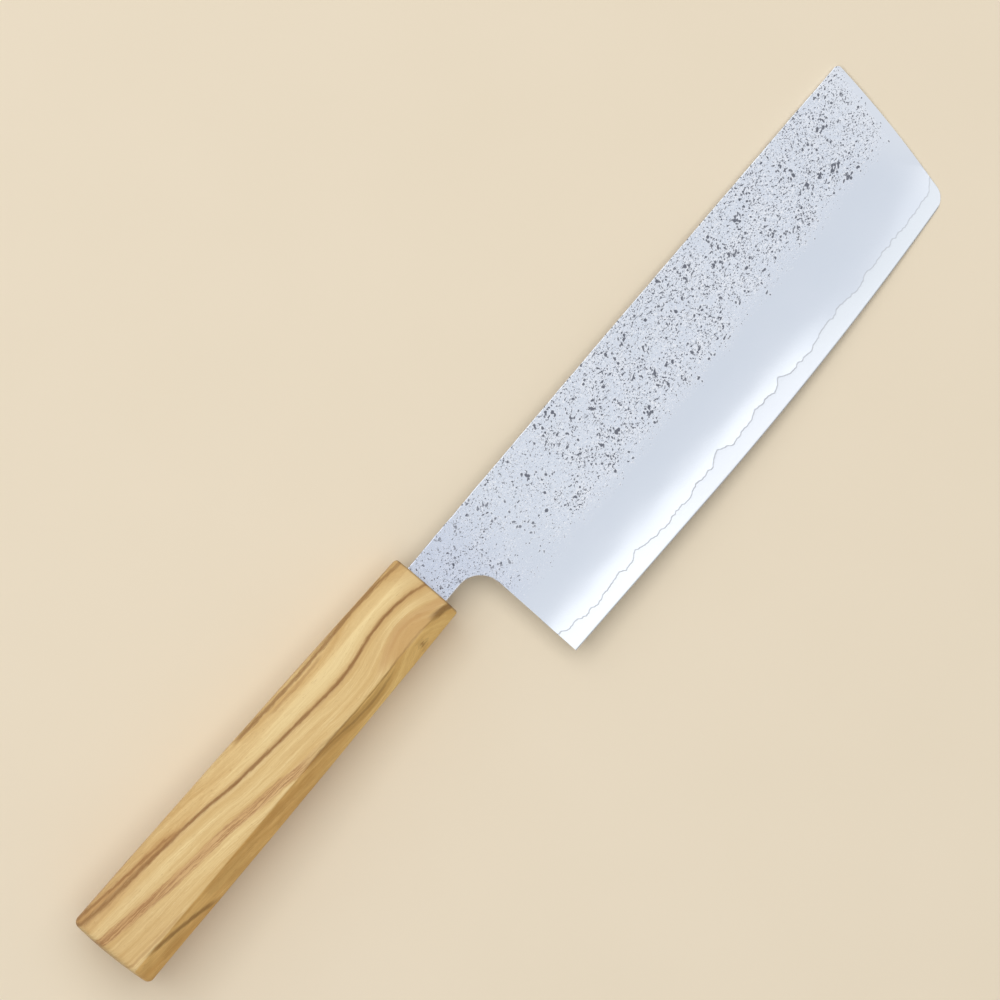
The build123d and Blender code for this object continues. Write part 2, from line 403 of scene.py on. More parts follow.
class Finish:
    """A material under construction, painted in millimetres from the middle of the handle's mouth."""

    def __init__(self, name):
        self.material = bpy.data.materials.new(name)
        self.material.use_nodes = True
        self.tree = self.material.node_tree
        self.tree.nodes.clear()
        self.output = self.tree.nodes.new("ShaderNodeOutputMaterial")
        place = self.node("ShaderNodeTexCoord", {}, {}, "Object")
        from_mouth = {"Vector": place, "Location": -mouth / MM, "Scale": (1 / MM,) * 3}
        self.place = self.node("ShaderNodeMapping", {}, from_mouth, "Vector")
        split = self.node("ShaderNodeSeparateXYZ", {}, {"Vector": self.place}, "X")
        self.x = split
        self.y = Term(self, split.socket.node.outputs["Y"])
        self.z = Term(self, split.socket.node.outputs["Z"])

    def node(self, kind, settings, links, output=None):
        """Adds a node. Settings come first, then the values or links of its inputs; gives one output."""
        made = self.tree.nodes.new(kind)
        for key, value in settings.items():
            if key == "curve":
                points = made.mapping.curves[0].points
                while len(points) < len(value):
                    points.new(0.5, 0.5)
                for point, location in zip(points, value):
                    point.location = location
                made.mapping.update()
            else:
                setattr(made, key, value)
        sockets = {s.identifier: s for s in made.inputs}
        sockets.update({s.name: s for s in reversed(made.inputs) if s.name not in sockets})
        for key, value in links.items():
            if isinstance(value, Term):
                self.tree.links.new(value.socket, sockets[key])
            elif sockets[key].type == "RGBA":
                sockets[key].default_value = (*value, 1)
            else:
                sockets[key].default_value = value
        outputs = {s.identifier: s for s in made.outputs}
        outputs.update({s.name: s for s in made.outputs if s.name not in outputs})
        return Term(self, outputs[output] if output else made.outputs[0])

    def mix(self, factor, first, second, blend="MIX"):
        """A colour between two colours, or blended with the second as far as the factor says."""
        settings = {"data_type": "RGBA", "blend_type": blend}
        links = {"Factor_Float": factor, "A_Color": first, "B_Color": second}
        return self.node("ShaderNodeMix", settings, links, "Result_Color")

    def joined(self, x, y, z):
        """Three terms as one place."""
        return self.node("ShaderNodeCombineXYZ", {}, {"X": x, "Y": y, "Z": z}, "Vector")

    def stretched(self, scale, turn=0.0):
        """The place, scaled differently along each axis and turned in the blade's plane."""
        links = {"Vector": self.place, "Scale": scale, "Rotation": (0, 0, turn)}
        return self.node("ShaderNodeMapping", {}, links, "Vector")

    def grain(self, place, detail, roughness=0.5, distortion=0.0):
        """Noise from 0 to 1 over a place that is already scaled."""
        links = {"Vector": place, "Scale": 1.0, "Detail": detail}
        links |= {"Roughness": roughness, "Distortion": distortion}
        return self.node("ShaderNodeTexNoise", {}, links, "Fac")

    def attribute(self, name):
        return self.node("ShaderNodeAttribute", {"attribute_name": name}, {}, "Fac")

    def surface(self, fixed, links):
        """The surface shader, with fixed values on its own sockets, given to the material."""
        shader = self.node("ShaderNodeBsdfPrincipled", {}, {**fixed, **links}, "BSDF")
        self.tree.links.new(shader.socket, self.output.inputs["Surface"])
        return self.material

    def bump(self, height, distance, strength=1.0):
        links = {"Height": height, "Distance": distance, "Strength": strength}
        return self.node("ShaderNodeBump", {}, links, "Normal")


def layer_mark(finish, gap):
    """The thin uneven grey line where the outer layer ends on the polished steel."""
    unrest = finish.grain(finish.stretched((2.2, 2.2, 2.2)), 2.0)
    width = 0.12 + 0.24 * unrest
    strength = finish.grain(finish.stretched((0.25, 0.25, 0.25)), 2.0)
    fainter = 1 - 0.45 * finish.x.rise(90.0, 150.0) - 0.2 * finish.x.rise(170.0, 178.0)
    return (1 - gap.rise(0.05, 0.08 + width)) * (0.2 + 1.1 * strength) * fainter


finish = Finish("honed_core_steel")
gap = finish.attribute("line_gap")
polish = finish.grain(finish.stretched((0.5, 5.0, 5.0), 0.5), 3.0)
cloud = finish.grain(finish.stretched((0.05, 0.08, 0.05)), 2.0)
mark = layer_mark(finish, gap)
steel = finish.mix(cloud, (0.82, 0.86, 0.90), (0.80, 0.84, 0.88))
# Painted reflection: half way along the edge the strip is painted a shade darker and bluer, as if it
# mirrored a dimmer part of the room.
middle = finish.x.rise(40.0, 80.0) - finish.x.rise(100.0, 140.0)
steel = finish.mix(middle, steel, (0.74, 0.775, 0.83))
steel = finish.mix(mark * 0.7, steel, (0.44, 0.44, 0.45))
# The honed strip at the edge is painted darker: partly its own finer-scratched grey, partly painted shade
# for the dark line that shadow and dark reflection make along the edge.
honed = 1 - finish.attribute("edge_gap").rise(0.12, 0.34)
steel = finish.mix(honed * 0.75, steel, (0.34, 0.33, 0.32))
core.data.materials.append(
    finish.surface(
        {"Metallic": 1.0},
        {
            "Base Color": steel,
            "Roughness": 0.12 + 0.05 * polish + 0.1 * mark + 0.2 * honed,
            "Normal": finish.bump(polish, 0.000004, 0.3),
        },
    )
)
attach(core, "root")
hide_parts("core_steel")

# Claddings: the softer stainless layers forged onto both sides of the core. Above, they keep the
# pear-skin pitting of the forging; below, they are ground to a smooth convex bevel whose feather
# edge runs out at the wavy line above the cutting edge.
upper_rows, lower_rows = 66, 52
spine_gaps = (0, 0.08, 0.19, 0.36, 0.7)
upper_height, lower_height = 22.4, 24.0
line_gaps = (0.9, 0.45, 0.2, 0.08, 0)
fine_height, fine_pitch = 10.4, 0.34  # of the rows that still carry pits below the choil's level
bare_places, bare_below = (14, 90, 178), (-25.0, -22.5, -19.0)  # x, and the y where the pitting ends
pit_fade, front_fade = 6.5, 1.6
bald_x, bald_y, bald_spread = 27, -17, 80  # a patch near the heel with few pits
pit_seed, pit_count = 41, 1130
pit_reach_x, pit_reach_y = (0.5, 186), (-27, 7.4)
cluster_sizes, cluster_spread = (1, 1, 1, 2, 3, 5, 9), 0.9


def row_share(row):
    """The plate's rows spread unevenly within their zones: closer at the spine and at the layers' line."""
    even_rows = upper_rows - len(spine_gaps) + 2
    top = np.concatenate((spine_gaps[:-1], np.linspace(spine_gaps[-1], upper_height, even_rows)))
    top = np.interp(row * upper_rows, np.arange(upper_rows + 1), top / upper_height)
    fine = np.arange(0, fine_height, fine_pitch)
    rest = lower_height - line_gaps[0]
    coarse = np.linspace(fine[-1], rest, lower_rows - len(line_gaps) - len(fine) + 3)[1:]
    bottom = np.concatenate((fine, coarse, lower_height - np.array(line_gaps[1:])))
    bottom = np.interp((row - 1) * lower_rows, np.arange(len(bottom)), bottom / lower_height)
    return np.where(row <= 1, top, 1 + bottom)


def pitting(x, y):
    """How thickly the forging's pits stand: 1 at the spine, 0 on the bevel and beside the front end."""
    limit = np.interp(x, bare_places, bare_below)
    limit = limit + sampled(x, lambda s: 1.6 * waver(s, 2.2, 11.0, 4.0))
    fade = np.clip((y - limit) / pit_fade, 0, 1)
    bare_front = np.interp(y, (-8, 8), (1.8, 0))
    front_clear = np.clip((front_line(y) - x - bare_front) / front_fade, 0, 1)
    rising = np.interp(x, (0, 40, 90), (0.7, 0.8, 1.0))
    bald_heel = 1 - 0.7 * np.exp(-((x - bald_x) ** 2 + (y - bald_y) ** 2) / bald_spread)
    return np.clip(fade * front_clear * rising * bald_heel, 0, 1)


def pits_of(side):
    """Chance pits of one side of the blade: clusters of short dents, thicker near the spine."""
    draw = random.Random(pit_seed + side)
    pits = []
    while len(pits) < pit_count:
        x = draw.uniform(*pit_reach_x)
        y = draw.uniform(*pit_reach_y)
        if draw.random() > pitting(np.array([x]), np.array([y]))[0]:
            continue
        cluster = draw.choice(cluster_sizes)
        near = cluster_spread if cluster > 1 else 0.0
        for _ in range(cluster):
            size = 0.24 + 0.26 * draw.random() ** 2.0
            place = (x + draw.gauss(0, near), y + draw.gauss(0, near))
            pits.append((*place, size, size * draw.uniform(0.45, 0.9), draw.uniform(0, math.pi)))
    return pits


def dents(x, y, pits):
    """How deep in a pit each point lies, from 0 outside to 1 at the bottom of the deepest."""
    most = 1.4  # where pits meet, they add up to no more than this
    field = np.zeros(len(x))
    order = np.argsort(x)
    sorted_x = x[order]
    for px, py, long, wide, turn in pits:
        low, high = np.searchsorted(sorted_x, (px - 2 * long, px + 2 * long))
        near = order[low:high]
        dx, dy = x[near] - px, y[near] - py
        along = dx * math.cos(turn) + dy * math.sin(turn)
        across = dy * math.cos(turn) - dx * math.sin(turn)
        reach = (along / long) ** 2 + (across / wide) ** 2
        field[near] += np.exp(-reach * 1.1)
    return np.clip(field, 0, most) / most


pit_depth, hammer_depth = 0.07, 0.025
feather = 0.004  # the outer layer's thickness where it runs out
no_line = 9  # the gap on the neck and the tang, which the line doesn't reach
for side, name in ((1, "front_cladding_blade"), (-1, "back_cladding_blade")):
    bm = plate(2)
    cut_rows(bm, 0, upper_rows, (1,))
    cut_rows(bm, 1, lower_rows, (1,))
    column, row, face = stations(bm)
    skin = (face > 0.5) & (column >= 0)
    x, y = plan_place(column, row_share(row), side)
    x, y = tang_place(column, row, x, y)
    joint = joint_half(column, side)
    gap = outline_gap(x, y)
    forged = pitting(x, y) * skin
    dent = dents(x, y, pits_of(side)) * np.clip(gap / 0.5, 0, 1) * skin
    hammered = (0.5 + 0.5 * ripple(x, y, 7, 7, side)) * forged * np.clip(gap, 0, 1)
    outer = blade_half(x, y) - pit_depth * dent - hammer_depth * hammered
    outer = np.where(column < 0, flat_half(x), outer)
    at_line = (row > 1.999) & (column > neck_count - 0.5)
    outer = np.where(at_line, joint + feather, np.maximum(outer, joint + feather))
    half = np.where(face > 0.5, outer, joint)
    line_gap = np.where(column > neck_count - 0.5, y - layer_line(x, side), no_line)
    shape_plate(bm, x, y, side * half)
    cladding = to_frame(bm, name)
    mark_verts(cladding, line_gap=line_gap, dent=dent, forged=forged)
    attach(cladding, "root")
    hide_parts(name.replace("_blade", ""))

finish = Finish("pear_skin_steel")
forged = finish.attribute("forged")
dent = finish.attribute("dent")
gap = finish.attribute("line_gap")


def specks(fineness, dark_from, light_below, turn):
    """Three masks from one noise field: small pits, painted highlights on their rims, painted glints
    between.
    """
    field = finish.grain(finish.stretched((fineness, fineness * 1.3, fineness), turn), 2.0, 0.55, 0.2)
    pitted = field - 0.13 * (1 - density)
    rim = pitted.rise(dark_from - 0.07, dark_from - 0.01)
    skin = 1 - (field + 0.1 * (1 - density)).rise(light_below - 0.07, light_below)
    return pitted.rise(dark_from, dark_from + 0.08), rim, skin


patches = finish.grain(finish.stretched((0.16, 0.16, 0.16)), 2.0)
density = (forged * (0.1 + 1.7 * patches)).clamped()
unrest = finish.grain(finish.stretched((3.2, 3.2, 3.2)), 3.0, 0.6)
fine_unrest = finish.grain(finish.stretched((6.5, 6.5, 6.5)), 2.0, 0.6)
ragged = dent * (0.35 + 1.3 * unrest)
deep = ragged.rise(0.16, 0.42) * (0.7 + 0.3 * finish.x.rise(10.0, 45.0))
middle, middle_rim_highlight, middle_skin_glints = specks(1.25, 0.57, 0.4, 0.4)
small, small_rim_highlight, small_skin_glints = specks(2.4, 0.58, 0.43, -0.7)
pit = (deep * 0.95).math("MAXIMUM", middle.math("MAXIMUM", small * 0.95)) * forged.rise(0.0, 0.12)
# Painted highlights: the skin between the pits and the pits' rims are painted near white, standing in for
# the glints that they catch.
skin = middle_skin_glints.math("MAXIMUM", small_skin_glints) * forged.rise(0.05, 0.4) * (1 - pit)
rim = ragged.rise(0.06, 0.14).math("MAXIMUM", middle_rim_highlight.math("MAXIMUM", small_rim_highlight * 0.5))
rim = rim * forged.rise(0.0, 0.2) * (1 - pit)
brushed = finish.grain(finish.stretched((0.35, 4.0, 4.0), 0.06), 3.0)
cloud = finish.grain(finish.stretched((0.04, 0.07, 0.05)), 2.0)
mark = layer_mark(finish, gap)
steel = finish.mix(cloud, (0.80, 0.84, 0.90), (0.75, 0.80, 0.87))
steel = finish.mix(forged * fine_unrest * 0.3, steel, (0.62, 0.67, 0.79))
steel = finish.mix(patches.rise(0.5, 0.68) * forged * 0.3, steel, (0.88, 0.90, 0.94))
# Painted highlights on the skin between the pits and on the pits' rims
steel = finish.mix(skin * 0.9, steel, (0.99, 0.99, 1.0))
steel = finish.mix(rim * 0.5, steel, (0.97, 0.98, 1.0))
steel = finish.mix((1 - finish.x.rise(4.0, 34.0)) * forged * 0.62, steel, (0.58, 0.63, 0.77))
steel = finish.mix(finish.x.rise(168.0, 184.0) * 0.4, steel, (0.95, 0.97, 1.0))
steel = finish.mix(pit * (0.7 + 0.4 * fine_unrest), steel, (0.055, 0.06, 0.09))
steel = finish.mix(mark * 0.7, steel, (0.44, 0.44, 0.45))
height = 0 - pit - 0.5 * forged * unrest
material = finish.surface(
    {},
    {
        "Metallic": 1 - 0.4 * pit,
        "Base Color": steel,
        "Roughness": 0.085 + 0.03 * brushed + forged * (0.18 + 0.1 * unrest) + 0.2 * pit,
        "Normal": finish.bump(height, 0.00003, 0.7),
    },
)
for name in ("front_cladding_blade", "back_cladding_blade"):
    bpy.data.objects[name].data.materials.append(material)

# Handle: one piece of striped olive wood, planed to a tapered octagon, softened along its corners and
# slightly domed at the butt. Its socket is drilled in from the mouth and sawn square there for the
# neck, and the wood is sanded fine and oiled.
handle_length = 136.0
butt_width, butt_thickness, butt_facet = 27.04, 22.54, 5.4
mouth_width, mouth_thickness = 22.6, 18.1
butt_dome, butt_rounding, mouth_rounding = 0.8, 1.9, 0.9
upper_softness, lower_softness = 1.3, 0.5  # along the corners on the spine's side and on the edge's side
butt_skew, skew_start, skew_whole = 0.03, 124, 134  # the butt's end isn't quite square to the handle
handle_swell = 0.3  # how far the sides stand out half way along
planing, planed_radius = 0.07, 12  # how far the hand-planed sides waver, and about how far out they lie
pocket_width, pocket_thickness, pocket_depth, pocket_rounding = 14.6, 2.5, 6.0, 0.35
socket_width, socket_thickness, socket_depth = 10.2, 3.2, 88.8
pocket_step = 0.3  # how long the slope from the neck's pocket to the tang's socket is
side_pitch, mouth_pitch = 1.6, 1.4  # how close the vertices stand round the handle and round its mouth


def flat_outline(bm, corners, softness, spacing):
    """A flat face across x with rounded corners, its sides divided into pieces of about one length."""
    before = set(bm.faces)
    verts = bmesh.ops.create_circle(bm, segments=len(corners), radius=1.0, cap_ends=True)["verts"]
    for v, (y, z) in zip(verts, corners):
        v.co = (0, y, z)
    for amount in sorted(set(softness)):
        chosen = [v for v, s in zip(verts, softness) if s == amount]
        bmesh.ops.bevel(
            bm, geom=chosen, offset=amount, segments=4, profile=0.5, affect="VERTICES", material=-1,
        )
    face = [f for f in bm.faces if f not in before][0]
    for edge in face.edges[:]:
        cuts = round(edge.calc_length() / spacing) - 1
        if cuts > 0:
            bmesh.ops.subdivide_edges(bm, edges=[edge], cuts=cuts)
    return face


def carry_face(bm, face, move, stretch):
    """Extrudes the moving end face one station further along x and widens or narrows it there."""
    grown = bmesh.ops.extrude_face_region(bm, geom=[face])["geom"]
    verts = only(bmesh.types.BMVert, grown)
    bmesh.ops.scale(bm, vec=(1, *stretch), verts=verts)
    bmesh.ops.translate(bm, vec=(move, 0, 0), verts=verts)
    bmesh.ops.delete(bm, geom=[face], context="FACES_ONLY")
    return only(bmesh.types.BMFace, grown)[0]


def carry_loop(bm, edges, move, stretch=(1, 1)):
    """Extrudes an open loop of edges one station further along x and stretches it about the x axis."""
    grown = bmesh.ops.extrude_edge_only(bm, edges=edges)["geom"]
    verts = only(bmesh.types.BMVert, grown)
    bmesh.ops.scale(bm, vec=(1, *stretch), verts=verts)
    bmesh.ops.translate(bm, vec=(move, 0, 0), verts=verts)
    return only(bmesh.types.BMEdge, grown)


def open_loop(bm, width, thickness, softness):
    """The edges of a rectangle across x with rounded corners, without its face."""
    y, z = width / 2, thickness / 2
    face = flat_outline(bm, ((y, z), (-y, z), (-y, -z), (y, -z)), [softness] * 4, mouth_pitch)
    edges = face.edges[:]
    bmesh.ops.delete(bm, geom=[face], context="FACES_ONLY")
    return edges


half_width, half_thickness = butt_width / 2, butt_thickness / 2
octagon = [(half_width, half_thickness - butt_facet), (half_width - butt_facet, half_thickness)]
octagon += [(-y, z) for y, z in reversed(octagon)]
octagon += [(-y, -z) for y, z in octagon]
softness = [upper_softness if y > 0 else lower_softness for y, z in octagon]

# The handle's stations from the butt to the mouth: x, and the shares of the butt's width and thickness
dome = [(-handle_length + butt_dome * t**2, t, t) for t in (0.06, 0.3, 0.52, 0.7)]
rim_x = dome[-1][0] + butt_dome * 0.26
rim = []
for turn in np.linspace(0, math.pi / 2, 7):
    inset = butt_rounding * (1 - math.sin(turn))
    x = rim_x + butt_rounding * (1 - math.cos(turn))
    rim.append((x, 1 - inset / half_width, 1 - inset / half_thickness))
shaft = []
for x in np.linspace(rim[-1][0], -mouth_rounding, 66)[1:]:
    share = 1 + x / handle_length
    swell = 4 * handle_swell * share * (1 - share)
    narrow = 1 + (mouth_width / butt_width - 1) * share + swell / half_width
    thin = 1 + (mouth_thickness / butt_thickness - 1) * share
    shaft.append((x, narrow, thin))
lip = []
for turn in np.linspace(0, math.pi / 2, 6)[1:]:
    inset = mouth_rounding * (1 - math.cos(turn))
    x = -mouth_rounding * (1 - math.sin(turn))
    lip.append((x, narrow - inset / half_width, thin - inset / half_thickness))
ends = [*dome, *rim, *shaft, *lip]

bm = bmesh.new()
face = flat_outline(bm, octagon, softness, side_pitch)
bmesh.ops.scale(bm, vec=(1, *ends[0][1:]), verts=bm.verts)
bmesh.ops.translate(bm, vec=(ends[0][0], 0, 0), verts=bm.verts)
butt_edges = face.edges[:]
for (x, wide, thick), (next_x, next_wide, next_thick) in zip(ends, ends[1:]):
    face = carry_face(bm, face, next_x - x, (next_wide / wide, next_thick / thick))
bmesh.ops.edgeloop_fill(bm, edges=butt_edges)
for v in bm.verts:
    waver_here = noise.noise(Vector((v.co.x / 16, v.co.y / 9, v.co.z / 9 + 4.0)))
    on_side = -handle_length + 3 < v.co.x < -2
    inward = 1 - planing * (0.5 + waver_here) / planed_radius if on_side else 1
    skewed = min(max(-v.co.x - skew_start, 0) / (skew_whole - skew_start), 1)
    skew = butt_skew * (half_width - v.co.y) * skewed
    v.co = (v.co.x + skew, v.co.y * inward, v.co.z * inward)
mouth_edges = face.edges[:]
bmesh.ops.delete(bm, geom=[face], context="FACES_ONLY")
pocket_edges = open_loop(bm, pocket_width, pocket_thickness, pocket_rounding)
bmesh.ops.bridge_loops(bm, edges=mouth_edges + pocket_edges)
edges = carry_loop(bm, pocket_edges, -pocket_depth)
to_socket = (socket_width / pocket_width, socket_thickness / pocket_thickness)
edges = carry_loop(bm, edges, -pocket_step, to_socket)
edges = carry_loop(bm, edges, -(socket_depth - pocket_depth - pocket_step))
bmesh.ops.edgeloop_fill(bm, edges=edges)
handle = to_frame(bm, "handle_wood")
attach(handle, "root")
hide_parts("handle")


def shade(red, green, blue):
    """A colour as a paint card gives it, from 0 to 255, for a material's nodes."""
    return tuple(((c / 255 + 0.055) / 1.055) ** 2.4 for c in (red, green, blue))


# The wood's veins as they run on the handle's face and on its two facets, from the butt to the mouth
dark_vein = (
    (-136.0, 12.0), (-128.7, 10.7), (-116.6, 9.4), (-105.9, 8.5), (-98.0, 7.6), (-90.9, 6.9),
    (-84.4, 6.0), (-78.7, 4.9), (-73.7, 4.4), (-62.9, 3.3), (-48.6, 2.1), (-41.4, 1.5),
    (-35.7, 1.3), (-30.0, 1.7), (-24.3, 2.6), (-18.6, 3.3), (-12.9, 3.3), (-8.6, 2.9), (0.0, 0.5),
)
second_vein = ((-136.0, 13.5), (-125.1, 12.1), (-113.0, 10.6), (-103.7, 9.6), (-96.0, 8.0))
rosy_vein = (
    (-136.0, 4.3), (-128.7, 3.1), (-120.1, 1.7), (-109.4, 0.1), (-102.3, -0.7), (-88.0, -2.1),
    (-77.3, -3.9), (-68.4, -5.1), (-62.9, -6.3), (-50.0, -7.0),
)
upper_vein = (
    (-70.0, 12.3), (-57.0, 11.6), (-45.0, 11.1), (-30.0, 11.0), (-18.0, 11.2), (-9.3, 10.8),
    (0.0, 9.7),
)
upper_twin = ((-58.0, 9.9), (-52.0, 9.6), (-41.4, 9.4), (-32.0, 10.0))
edge_lens = (
    (-64.0, -7.5), (-55.0, -7.7), (-48.0, -8.3), (-41.4, -9.2), (-34.3, -9.5), (-27.0, -8.8),
    (-20.0, -7.2),
)
knot_arch = (
    (-29.0, -6.2), (-23.6, -4.3), (-20.0, -2.9), (-13.6, -1.7), (-8.6, -2.8), (-2.9, -4.9),
    (0.0, -6.0),
)
ridge_vein = (
    (-62.0, -7.4), (-48.0, -7.5), (-38.0, -7.7), (-30.0, -7.6), (-24.0, -7.3), (-18.0, -6.9),
    (-13.0, -6.7), (-8.0, -7.1), (-4.0, -7.8),
)
mouth_patch = ((-8.0, -6.9), (-3.6, -7.5), (0.0, -8.6))
facet_vein = ((-130.5, -7.8), (-116.6, -9.9), (-108.0, -11.7), (-102.0, -13.2))
corner_vein = ((-136.0, -6.3), (-123.7, -7.1), (-112.0, -7.6))
vein_span = 32.0  # the height that a curve's range from 0 to 1 stands for
ring_tilt = 0.3  # how the wood's rings lean in the handle's thickness
knot_x, knot_y, knot_reach = -13.2, -9.6, 8.5

finish = Finish("oiled_olive_wood")
x, y, z = finish.x, finish.y, finish.z
along = (x / handle_length + 1).clamped()
top = butt_thickness / 2 + (mouth_thickness - butt_thickness) / 2 * along
drift = finish.grain(finish.stretched((0.05, 0.3, 0.3)), 2.0) - 0.5
tremble = finish.grain(finish.stretched((0.3, 1.3, 1.3)), 3.0, 0.6) - 0.5
level = y + (z - top) * ring_tilt + tremble * 0.9


def facet_height(share):
    """How far from the middle the face ends and a facet begins, at a share of the way to the mouth."""
    return 8.15 - 1.15 * share


def vein_height(points):
    """The height that a vein has at each place along the handle, as the face shows it."""
    curve = []
    for px, py in points:
        py -= ring_tilt * max(abs(py) - facet_height(1 + px / handle_length), 0)
        curve.append((1 + px / handle_length, 0.5 + py / vein_span))
    read = finish.node("ShaderNodeFloatCurve", {"curve": curve}, {"Value": along}, "Value")
    return (read - 0.5) * vein_span


def vein(points, width, blur, fade=5.0):
    """The mask of a vein, of a half width and a blur, which fades out at the ends of its line."""
    mask = 1 - abs(level - vein_height(points)).rise(width, width + blur)
    if points[0][0] > -handle_length:
        mask = mask * x.rise(points[0][0], points[0][0] + fade)
    if points[-1][0] < 0:
        mask = mask * (1 - x.rise(points[-1][0] - fade, points[-1][0]))
    return mask


near_knot = ((x - knot_x) / knot_reach).math("POWER", 2.0)
knot_lift = (0 - near_knot).math("EXPONENT") * (1 - y.rise(-4.0, 3.0)) * 4.0
flow = level - vein_height(dark_vein) - knot_lift + drift * 1.5


def follow(scale_x, scale_flow, detail, roughness=0.5):
    """Noise drawn out along the grain."""
    place = finish.joined(x * scale_x, flow * scale_flow, z * (scale_flow * 0.3))
    return finish.grain(place, detail, roughness)


facet_line = facet_height(along)
lower_facet = (0 - y - facet_line).rise(-0.15, 0.25)
bands = follow(0.012, 0.45, 3.0)
fibres = follow(0.06, 3.2, 3.0, 0.65)
threads = follow(0.14, 8.0, 3.0, 0.65)
pores = follow(0.7, 6.0, 2.0)
pale = (1 - abs(flow - 3.4).rise(1.6, 3.6)) * x.rise(-85.0, -55.0)
flecks = 0.55 + 0.7 * threads
heart = (0.75 + 0.25 * x.rise(-118.0, -98.0)) * flecks
rosy = vein(rosy_vein, 0.85, 0.9, 14.0)
under_arch = (vein_height(knot_arch) + 0.8 - level).rise(0.0, 1.6)
under_arch = under_arch * x.rise(-27.0, -20.0) * (1 - x.rise(-9.0, -1.0))
around_knot = {"Vector": finish.joined((x - knot_x) * 0.8, y - knot_y, 0.0)}
knot_gap = finish.node("ShaderNodeVectorMath", {"operation": "LENGTH"}, around_knot, "Value")
knot_gap = knot_gap + tremble * 3.5
knot = (1 - knot_gap.rise(0.5, 1.7)) * z.rise(-1.0, 1.0)
knot_rings = (knot_gap * 5.5).math("SINE") * 0.5 + 0.5
wood = finish.mix(bands.rise(0.3, 0.7), shade(218, 183, 122), shade(239, 212, 155))
for mask, colour in (
    (fibres.rise(0.4, 0.75) * 0.5, (208, 170, 112)),
    ((1 - fibres.rise(0.25, 0.45)) * 0.4, (247, 226, 178)),
    (threads.rise(0.5, 0.75) * 0.35, (198, 156, 100)),
    (pale * 0.4, (246, 224, 170)),
    (vein(dark_vein, 0.35, 1.3) * 0.42 * flecks, (194, 150, 96)),
    (vein(dark_vein, 0.12, 0.65) * 0.95 * heart, (138, 94, 47)),
    (vein(second_vein, 0.3, 0.8) * 0.35 * flecks, (196, 150, 98)),
    (vein(second_vein, 0.08, 0.35) * 0.8 * flecks, (158, 112, 64)),
    (rosy * 0.75, (207, 164, 112)),
    (rosy * fibres.rise(0.42, 0.6) * 0.85, (172, 128, 82)),
    (vein(upper_vein, 0.12, 0.45) * 0.85 * flecks, (148, 106, 60)),
    (vein(upper_twin, 0.1, 0.35) * 0.5 * flecks, (176, 134, 84)),
    (vein(edge_lens, 1.2, 0.9, 14.0) * 0.7 * flecks, (182, 146, 88)),
    (vein(edge_lens, 0.15, 0.45, 10.0) * 0.5 * flecks, (138, 103, 58)),
    (vein(ridge_vein, 0.08, 0.4) * 0.6 * flecks, (140, 104, 58)),
    (under_arch * (0.55 - 0.35 * lower_facet), (198, 153, 95)),
    (x.rise(-11.0, 0.0) * 0.35, (196, 158, 102)),
    (vein(knot_arch, 0.5, 1.3) * 0.45, (196, 150, 96)),
    (vein(mouth_patch, 0.65, 1.0, 4.0) * 0.9 * flecks, (134, 98, 56)),
    (vein(facet_vein, 0.2, 0.9, 6.0) * 0.85 * flecks, (144, 110, 62)),
    (vein(corner_vein, 0.1, 0.5) * 0.4, (184, 140, 90)),
    (pores.rise(0.6, 0.8) * 0.3, (160, 120, 74)),
    (knot * (0.25 + 0.5 * knot_rings), (142, 105, 57)),
):
    wood = finish.mix(mask, wood, shade(*colour))
planed = x.rise(-handle_length + 0.7, -handle_length + 2.0) * (1 - x.rise(-0.6, -0.1))
# The lower facet's tint: a deeper, more olive tone of its own together with painted shade, as the facet
# turns away from the light; patchy, and lighter towards the mouth.
facet_patches = finish.grain(finish.stretched((0.09, 0.3, 0.3)), 3.0).rise(0.35, 0.65)
facet_tone_and_shade = finish.mix(facet_patches, (0.75, 0.61, 0.40), (0.88, 0.74, 0.52))
facet_tone_and_shade = finish.mix(x.rise(-72.0, -20.0), facet_tone_and_shade, (1.0, 0.93, 0.71))
# Multiplied over the wood: the lower facet's tint, a darkening of the face and upper facet towards the
# butt, and painted shade on the upper facet.
for mask, tint in (
    (lower_facet, facet_tone_and_shade),
    ((1 - x.rise(-126.0, -96.0)) * (1 - lower_facet), (0.92, 0.89, 0.87)),
    ((y - facet_line).rise(-0.15, 0.25), (0.92, 0.88, 0.84)),
):
    wood = finish.mix(mask * planed, wood, tint, "MULTIPLY")
# Painted shade: the rounded butt end and the rounded lip of the mouth are darkened where they turn away
# from the light.
painted_end_shade = (1 - x.rise(-handle_length + 0.4, -handle_length + 1.8)) * 0.45 + x.rise(-0.7, -0.1) * 0.5
wood = finish.mix(painted_end_shade, wood, shade(128, 92, 54))
relief = fibres * 0.5 + threads * 0.4 - pores.rise(0.6, 0.8) * 0.5
handle.data.materials.append(
    finish.surface(
        {"IOR": 1.45},
        {
            "Base Color": wood,
            "Roughness": 0.48 + 0.14 * threads,
            "Normal": finish.bump(relief, 0.00006, 0.5),
        },
    )
)

# Tang bedding: the resin that fills the socket round the tang and the neck. Only its thin skin
# shows, round the neck at the handle's mouth, where it has sunk a little as it set.
neck_width, neck_thickness, neck_rounding = 14.2, 2.1, 0.21
hollow_root_width, hollow_end_width, hollow_end_thickness = 8.7, 5.2, 1.6  # the space that the tang fills
shoulder_play = 0.02  # how far the hollow's step reaches before and behind the tang's shoulders
end_play = 0.1  # between the resin and the socket's end
sunk = 0.25
resin_play = 0.03  # between the resin and what it was poured against

